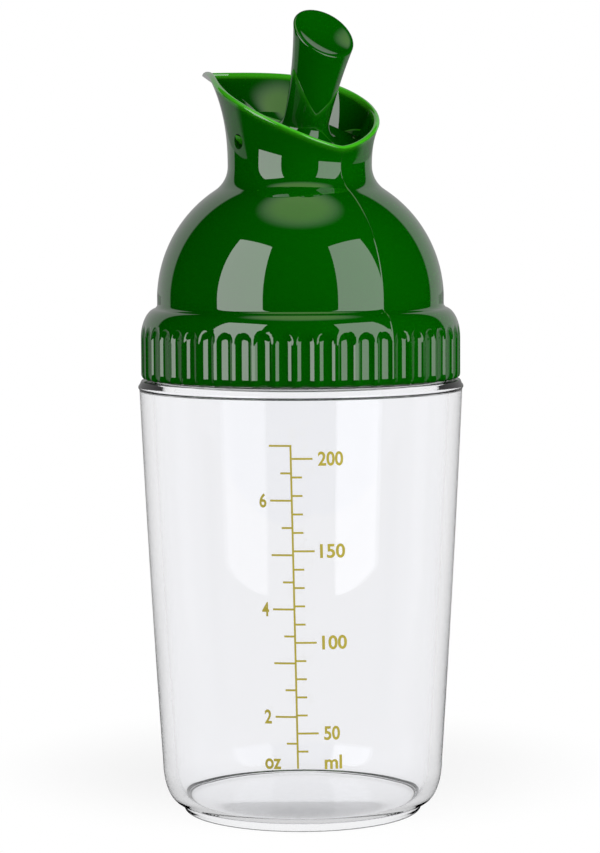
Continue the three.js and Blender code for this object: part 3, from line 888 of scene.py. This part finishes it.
class SHAKER_OT_lid(bpy.types.Operator):
    """Turn the lid, scoop its flutes, flare its collar, and cut its pivot holes"""

    bl_idname = "shaker.lid"
    bl_label = "Lid"

    def execute(self, context):
        sizes = settings()
        lid, thread = sizes.lid, sizes.thread
        steps_per_flute, past_neck = 12, 1.3
        bm = bmesh.new()
        zones = bm.verts.layers.int.new("zone")
        shares = bm.verts.layers.float.new("share")
        verts = []
        for radius, height, zone, share in lid_outline():
            vert = bm.verts.new((radius, 0, height))
            vert[zones], vert[shares] = zone, share
            verts.append(vert)
        edges = [bm.edges.new(pair) for pair in zip(verts, [*verts[1:], verts[0]])]
        spin_outline(bm, verts, edges, lid.flutes * steps_per_flute)
        bmesh.ops.remove_doubles(bm, verts=bm.verts, dist=SAME_PLACE)
        bmesh.ops.recalc_face_normals(bm, faces=bm.faces)
        shape_lid(bm, zones, shares)
        raise_mould_line(bm)
        obj = new_object("green_lid", bm)
        reach = lid.neck_radius * past_neck
        hole = cylinder(lid.pivot_hole, -reach, reach, 48, Matrix.Translation((0, 0, PIVOT.z)) @ ACROSS)
        join_or_cut(obj, [hole], "DIFFERENCE")
        bore = sizes.jar.neck_radius + thread.depth + thread.clearance
        start = ledge_height() + thread.lift
        turns = (math.pi / 2, 3 * math.pi / 2)
        join_or_cut(obj, [ridge(bore, bore - thread.depth, turn, start) for turn in turns], "UNION")
        finish_piece(obj, material(moulded_green), "lid", "lid", 40)
        return {"FINISHED"}


class SHAKER_OT_gasket(bpy.types.Operator):
    """Turn the soft ring between the jar's mouth and the lid"""

    bl_idname = "shaker.gasket"
    bl_label = "Lid gasket"

    def execute(self, context):
        outer = GASKET_HIGH.x
        low, high = GASKET_LOW.z, GASKET_HIGH.z
        inner = outer - 2 * (high - low)
        obj = new_object("gasket_ring", soft_ring(inner, outer, low, high, (high - low) / 4, 160))
        finish_piece(obj, material(white_silicone), "gasket", "lid_gasket")
        return {"FINISHED"}


# Lever and its seal


def stem_radius(height):
    lever = settings().lever
    start = lever.disc_above + lever.foot_fillet
    share = max(0, height - start) / (lever.stem - start)
    return lever.foot_radius + lever.flare * share**lever.flare_bend


def lean_back(bm):
    """From a stem made upright on the pivot to where it rests, leaning and a little set back."""
    lever = settings().lever
    matrix = Matrix.Translation(PIVOT) @ Matrix.Rotation(-lever.tilt, 4, "Y")
    matrix = matrix @ Matrix.Translation((-lever.set_back, 0, 0))
    bmesh.ops.transform(bm, matrix=matrix, verts=bm.verts)


def slant(bm):
    """Upright rings about the pivot, slanted as the disc lies in the upright bore."""
    rise = math.tan(settings().lever.tilt)
    for vert in bm.verts:
        vert.co.z += PIVOT.z + vert.co.x * rise


def stem():
    lever = settings().lever
    curve = lever.foot_fillet
    start = lever.disc_above + curve
    past_cut, rows = 2.4, 24
    top = lever.stem + past_cut * lever.foot_radius
    fillet = arc(lever.foot_radius + curve, start, curve, curve, 268, 180, 14)
    heights = [start + (top - start) * i / rows for i in range(1, rows + 1)]
    outline = [(0, 0), (fillet[0][0], 0), *fillet, *[(stem_radius(h), h) for h in heights], (0, top)]
    bm = turned(outline, 96)
    for vert in bm.verts:
        share = max(0, vert.co.z - start) / (lever.stem - start)
        vert.co.y *= 1 + (lever.widening - 1) * share
    normal = Matrix.Rotation(-lever.pad_slope, 3, "Y") @ Vector((0, 0, 1))
    place = Vector((0, 0, lever.stem)) - normal * lever.pad_edge
    whole = [*bm.verts, *bm.edges, *bm.faces]
    bmesh.ops.bisect_plane(bm, geom=whole, plane_co=place, plane_no=normal, clear_outer=True)
    dish_pad(bm, place, normal)
    return bm


def dish_pad(bm, centre, normal):
    """Closes the cut stem with a rounded edge, a narrow lip and a shallow dish, ring by ring."""
    lever = settings().lever
    radius = stem_radius(lever.stem)
    soft = lever.pad_edge
    flat = (radius - lever.pad_lip) / radius
    edge_rings, dish_rings = 3, 12
    rings = [(1.0, 0.0)]
    for step in range(1, edge_rings + 1):
        turn = step / edge_rings * math.pi / 2
        rings.append((1 - soft * (1 - math.cos(turn)) / radius, soft * math.sin(turn)))
    for step in range(dish_rings):
        share = 1 - step / dish_rings
        rings.append((flat * share, soft - lever.dish * (1 - share**2)))
    rim = [edge for edge in bm.edges if edge.is_boundary]
    for (scale_before, rise_before), (scale, rise) in zip(rings, rings[1:]):
        made = bmesh.ops.extrude_edge_only(bm, edges=rim)["geom"]
        rim = [item for item in made if isinstance(item, bmesh.types.BMEdge) and item.is_boundary]
        for vert in {vert for edge in rim for vert in edge.verts}:
            across = vert.co - centre - normal * rise_before
            vert.co = centre + across * (scale / scale_before) + normal * rise
    bmesh.ops.holes_fill(bm, edges=rim, sides=0)
    bmesh.ops.recalc_face_normals(bm, faces=bm.faces)


def disc():
    """The valve disc with its groove, turned upright and then slanted."""
    sizes = settings()
    lever, seal = sizes.lever, sizes.seal
    tall = 1 / math.cos(lever.tilt)
    top = lever.disc_above * tall
    groove_top = -(seal.top - seal.slack) * tall
    groove_bottom = -(seal.top + seal.height + seal.slack) * tall
    bottom = groove_bottom - lever.disc_lip * tall
    groove = lever.disc_radius + seal.stand - seal.width - seal.slack
    lip = lever.disc_radius - lever.lip_inset
    soft = 0.3 * MM
    outline = [
        (0, bottom),
        *arc(lip - soft, bottom + soft, soft, soft, -90, 0, 4),
        (lip, groove_bottom),
        (groove, groove_bottom),
        (groove, groove_top),
        (lever.disc_radius, groove_top),
        *arc(lever.disc_radius - soft, top - soft, soft, soft, 0, 90, 4),
        (0, top),
    ]
    bm = turned(outline, 160)
    slant(bm)
    return bm


def pin(side):
    """A pivot pin with a wedge end, longest at its top."""
    lever = settings().lever
    radius, reach = lever.pin_radius, lever.pin_reach
    into_disc, below_top = 0.7, 0.92
    place = Matrix.Translation((0, 0, PIVOT.z)) @ Matrix.Rotation(-side * math.pi / 2, 4, "X")
    bm = cylinder(radius, lever.disc_radius * into_disc, reach, 32, place)
    normal = Vector((0, side, -1)).normalized()
    edge = Vector((0, side * reach, PIVOT.z + radius * below_top))
    whole = [*bm.verts, *bm.edges, *bm.faces]
    cut = bmesh.ops.bisect_plane(bm, geom=whole, plane_co=edge, plane_no=normal, clear_outer=True)
    rim = [e for e in cut["geom_cut"] if isinstance(e, bmesh.types.BMEdge)]
    bmesh.ops.contextual_create(bm, geom=rim)
    bmesh.ops.recalc_face_normals(bm, faces=bm.faces)
    return bm


def mark_thin(obj, places):
    """Writes the attribute of painted light, which lightens the plastic: 1 at each place, fading to 0 over
    its reach.
    """
    values = []
    for vert in obj.data.vertices:
        values.append(max(0, *[1 - (vert.co - place).length / reach for place, reach in places]))
    attribute = obj.data.attributes.new("painted_light", "FLOAT", "POINT")
    attribute.data.foreach_set("value", values)


class SHAKER_OT_lever(bpy.types.Operator):
    """Join the thumb stem, the disc and the two pivot pins"""

    bl_idname = "shaker.lever"
    bl_label = "Lever"

    def execute(self, context):
        lever = settings().lever
        obj = new_object("thumb_lever", disc())
        upright = stem()
        lean_back(upright)
        join_or_cut(obj, [upright, pin(1), pin(-1)], "UNION")
        # Painted highlight: the tops of the pin ends, in the shade of the pivot holes, are marked to be
        # painted a lighter green.
        top, light_reach = PIVOT.z + lever.pin_radius, 3 * MM
        ends = [(Vector((0, side * lever.pin_reach, top)), light_reach) for side in (-1, 1)]
        mark_thin(obj, ends)
        finish_piece(obj, material(moulded_green), "lever", "lever", 40)
        return {"FINISHED"}


class SHAKER_OT_valve_seal(bpy.types.Operator):
    """Turn and slant the soft ring round the valve disc"""

    bl_idname = "shaker.valve_seal"
    bl_label = "Valve seal"

    def execute(self, context):
        sizes = settings()
        seal = sizes.seal
        tall = 1 / math.cos(sizes.lever.tilt)
        outer = sizes.lever.disc_radius + seal.stand
        inner = outer - seal.width
        top, bottom = -seal.top * tall, -(seal.top + seal.height) * tall
        bm = soft_ring(inner, outer, bottom, top, seal.height / 4, 128)
        slant(bm)
        obj = new_object("valve_ring", bm)
        finish_piece(obj, material(white_silicone), "lever", "valve_seal")
        return {"FINISHED"}


# Stage


def direction(turn):
    return Vector((math.cos(turn), math.sin(turn), 0))


def math_node(tree, operation, *values):
    node = tree.nodes.new("ShaderNodeMath")
    node.operation = operation
    node.use_clamp = operation in ("MAXIMUM", "MULTIPLY_ADD")
    for socket, value in zip(node.inputs, values):
        feed(tree, value, socket)
    return node.outputs["Value"]


def product(tree, first, second):
    return math_node(tree, "MULTIPLY", first, second)


def largest(tree, first, *others):
    for other in others:
        first = math_node(tree, "MAXIMUM", first, other)
    return first


def rising(tree, vector, toward, low, high):
    """0 to 1 as a direction, or a place, goes further toward one side."""
    dot = tree.nodes.new("ShaderNodeVectorMath")
    dot.operation = "DOT_PRODUCT"
    dot.inputs[1].default_value = toward
    tree.links.new(vector, dot.inputs[0])
    spread = tree.nodes.new("ShaderNodeMapRange")
    spread.interpolation_type = "SMOOTHSTEP"
    spread.inputs["From Min"].default_value = low
    spread.inputs["From Max"].default_value = high
    tree.links.new(dot.outputs["Value"], spread.inputs["Value"])
    return spread.outputs["Result"]


def make_world():
    """White to the camera, a bright backdrop and ceiling in reflections, and plain light on surfaces."""
    stage = settings().stage
    world = bpy.data.worlds.new("studio")
    bpy.context.scene.world = world
    world.use_nodes = True
    tree = world.node_tree
    ray = tree.nodes.new("ShaderNodeTexCoord").outputs["Generated"]
    path = tree.nodes.new("ShaderNodeLightPath").outputs
    away = -direction(stage.view_azimuth)
    edge, soft = math.cos(stage.backdrop_edge), 0.02
    card = product(tree, rising(tree, ray, away, edge - soft, edge + soft), stage.backdrop)
    above = rising(tree, ray, (0, 0, 1), 0.9, 0.985)
    glow = product(tree, above, stage.ceiling)
    mirrored = product(tree, largest(tree, card, glow), path["Is Glossy Ray"])
    clear = product(tree, rising(tree, ray, away, -0.6, -0.1), path["Is Transmission Ray"])
    matt = product(tree, path["Is Diffuse Ray"], stage.ambient)
    total = largest(tree, mirrored, clear, matt, path["Is Camera Ray"])
    room = mixed(tree, path["Is Transmission Ray"], (0, 0, 0, 1), rgba(stage.room))
    tint = mixed(tree, product(tree, above, path["Is Glossy Ray"]), (1, 1, 1, 1), rgba(stage.glow))
    feed(tree, mixed(tree, total, room, tint), tree.nodes["Background"].inputs["Color"])


def floor_paper():
    """White paper with a faint shadow round the foot, dark in reflections from before the object."""
    stage = settings().stage
    nodes = Nodes("floor_paper")
    tree = nodes.tree
    tree.nodes.remove(nodes.shader)
    shadow_behind, shadow_inner, shadow_outer, shadow_tone = 45 * MM, 25 * MM, 80 * MM, 0.84
    under_tone = 0.65
    place = nodes.add("ShaderNodeNewGeometry").outputs["Position"]
    path = nodes.add("ShaderNodeLightPath").outputs
    away = -direction(stage.view_azimuth)
    behind = product(tree, rising(tree, place, away, 0.1, 0.3), stage.paper)
    brighter = rising(tree, place, away, -0.06, 0.06)
    under = math_node(tree, "MULTIPLY_ADD", brighter, 1 - under_tone, under_tone)
    mirrored = product(tree, behind, path["Is Glossy Ray"])
    clear = product(tree, under, path["Is Transmission Ray"])
    glow = nodes.add("ShaderNodeEmission")
    nodes.link(largest(tree, mirrored, clear, path["Is Camera Ray"]), glow.inputs["Strength"])
    paper = nodes.add("ShaderNodeBsdfDiffuse")
    paper.inputs["Color"].default_value = (0.9, 0.9, 0.9, 1)
    far = nodes.add("ShaderNodeVectorMath", operation="DISTANCE")
    far.inputs[1].default_value = away * shadow_behind
    nodes.link(place, far.inputs[0])
    fade = nodes.add("ShaderNodeMapRange", interpolation_type="SMOOTHSTEP")
    limits = {"From Min": shadow_inner, "From Max": shadow_outer, "To Min": shadow_tone, "To Max": 1.0}
    for socket, value in limits.items():
        fade.inputs[socket].default_value = value
    nodes.link(far.outputs["Value"], fade.inputs["Value"])
    shown = product(tree, path["Is Camera Ray"], fade.outputs["Result"])
    mix = nodes.add("ShaderNodeMixShader")
    seen = largest(tree, path["Is Glossy Ray"], path["Is Transmission Ray"], shown)
    nodes.link(seen, mix.inputs["Fac"])
    nodes.link(paper.outputs["BSDF"], mix.inputs[1])
    nodes.link(glow.outputs["Emission"], mix.inputs[2])
    nodes.link(mix.outputs["Shader"], nodes.output.inputs["Surface"])
    return nodes.material


def add_softbox(name, turn, radiance):
    """A tall softbox at a direction from the camera's."""
    stage = settings().stage
    light = bpy.data.lights.new(name, "AREA")
    light.shape = "RECTANGLE"
    light.size = stage.softbox_width
    light.size_y = stage.softbox_tall
    light.energy = radiance * math.pi * light.size * light.size_y
    lamp = bpy.data.objects.new(name, light)
    toward = direction(stage.view_azimuth + turn)
    lamp.location = toward * stage.softbox_distance + Vector((0, 0, stage.softbox_height))
    lamp.rotation_euler = (-toward).to_track_quat("-Z", "Y").to_euler()
    bpy.context.scene.collection.objects.link(lamp)
    return lamp


class SHAKER_OT_stage(bpy.types.Operator):
    """Set the camera, the soft lamps, the white floor and the backdrop"""

    bl_idname = "shaker.stage"
    bl_label = "Stage"

    def execute(self, context):
        stage = settings().stage
        scene = context.scene
        paper_reach, paper_gap = 4, 0.2 * MM
        scene.view_settings.view_transform = "Standard"
        camera = bpy.data.cameras.new("camera")
        camera.lens = stage.lens / MM
        camera.sensor_width = 36
        eye = bpy.data.objects.new("camera", camera)
        toward = direction(stage.view_azimuth)
        eye.location = toward * stage.view_distance + Vector((0, 0, stage.view_height))
        aim = -toward * math.cos(stage.view_pitch) - Vector((0, 0, math.sin(stage.view_pitch)))
        turn = aim.to_track_quat("-Z", "Y").to_matrix() @ Matrix.Rotation(stage.view_roll, 3, "Z")
        turn = Matrix.Rotation(stage.view_pan, 3, "Z") @ turn
        eye.rotation_euler = turn.to_euler()
        scene.collection.objects.link(eye)
        scene.camera = eye
        make_world()
        add_softbox("softbox_left", -stage.softbox_turn, stage.left_radiance)
        add_softbox("softbox_right", stage.softbox_turn, stage.right_radiance)
        fill = add_softbox("fill", stage.fill_turn, stage.fill_radiance)
        fill.visible_glossy = False
        fill.visible_transmission = False
        bm = bmesh.new()
        bmesh.ops.create_grid(bm, x_segments=1, y_segments=1, size=paper_reach)
        bmesh.ops.translate(bm, verts=bm.verts, vec=(0, 0, -paper_gap))
        floor = new_object("paper_floor", bm)
        floor.data.materials.append(floor_paper())
        return {"FINISHED"}


class SHAKER_PT_panel(bpy.types.Panel):
    bl_label = "Dressing shaker"
    bl_idname = "SHAKER_PT_panel"
    bl_space_type = "VIEW_3D"
    bl_region_type = "UI"
    bl_category = "Shaker"

    def draw(self, context):
        for operator in OPERATORS:
            self.layout.operator(operator.bl_idname)


GROUPS = (
    JarSizes,
    ThreadSizes,
    ScaleSizes,
    LidSizes,
    CollarSizes,
    LeverSizes,
    SealSizes,
    Finishes,
    StageSizes,
    ShakerSettings,
)
OPERATORS = (
    SHAKER_OT_stage,
    SHAKER_OT_jar,
    SHAKER_OT_scale,
    SHAKER_OT_lid,
    SHAKER_OT_gasket,
    SHAKER_OT_lever,
    SHAKER_OT_valve_seal,
)


def register():
    for cls in (*GROUPS, *OPERATORS, SHAKER_PT_panel):
        bpy.utils.register_class(cls)
    bpy.types.Scene.shaker = bpy.props.PointerProperty(type=ShakerSettings)


def unregister():
    del bpy.types.Scene.shaker
    for cls in reversed((*GROUPS, *OPERATORS, SHAKER_PT_panel)):
        bpy.utils.unregister_class(cls)


def main():
    register()
    bpy.ops.shaker.stage()
    bpy.ops.shaker.jar()
    bpy.ops.shaker.volume_scale()
    bpy.ops.shaker.lid()
    bpy.ops.shaker.gasket()
    bpy.ops.shaker.lever()
    bpy.ops.shaker.valve_seal()


if __name__ == "__main__":
    main()
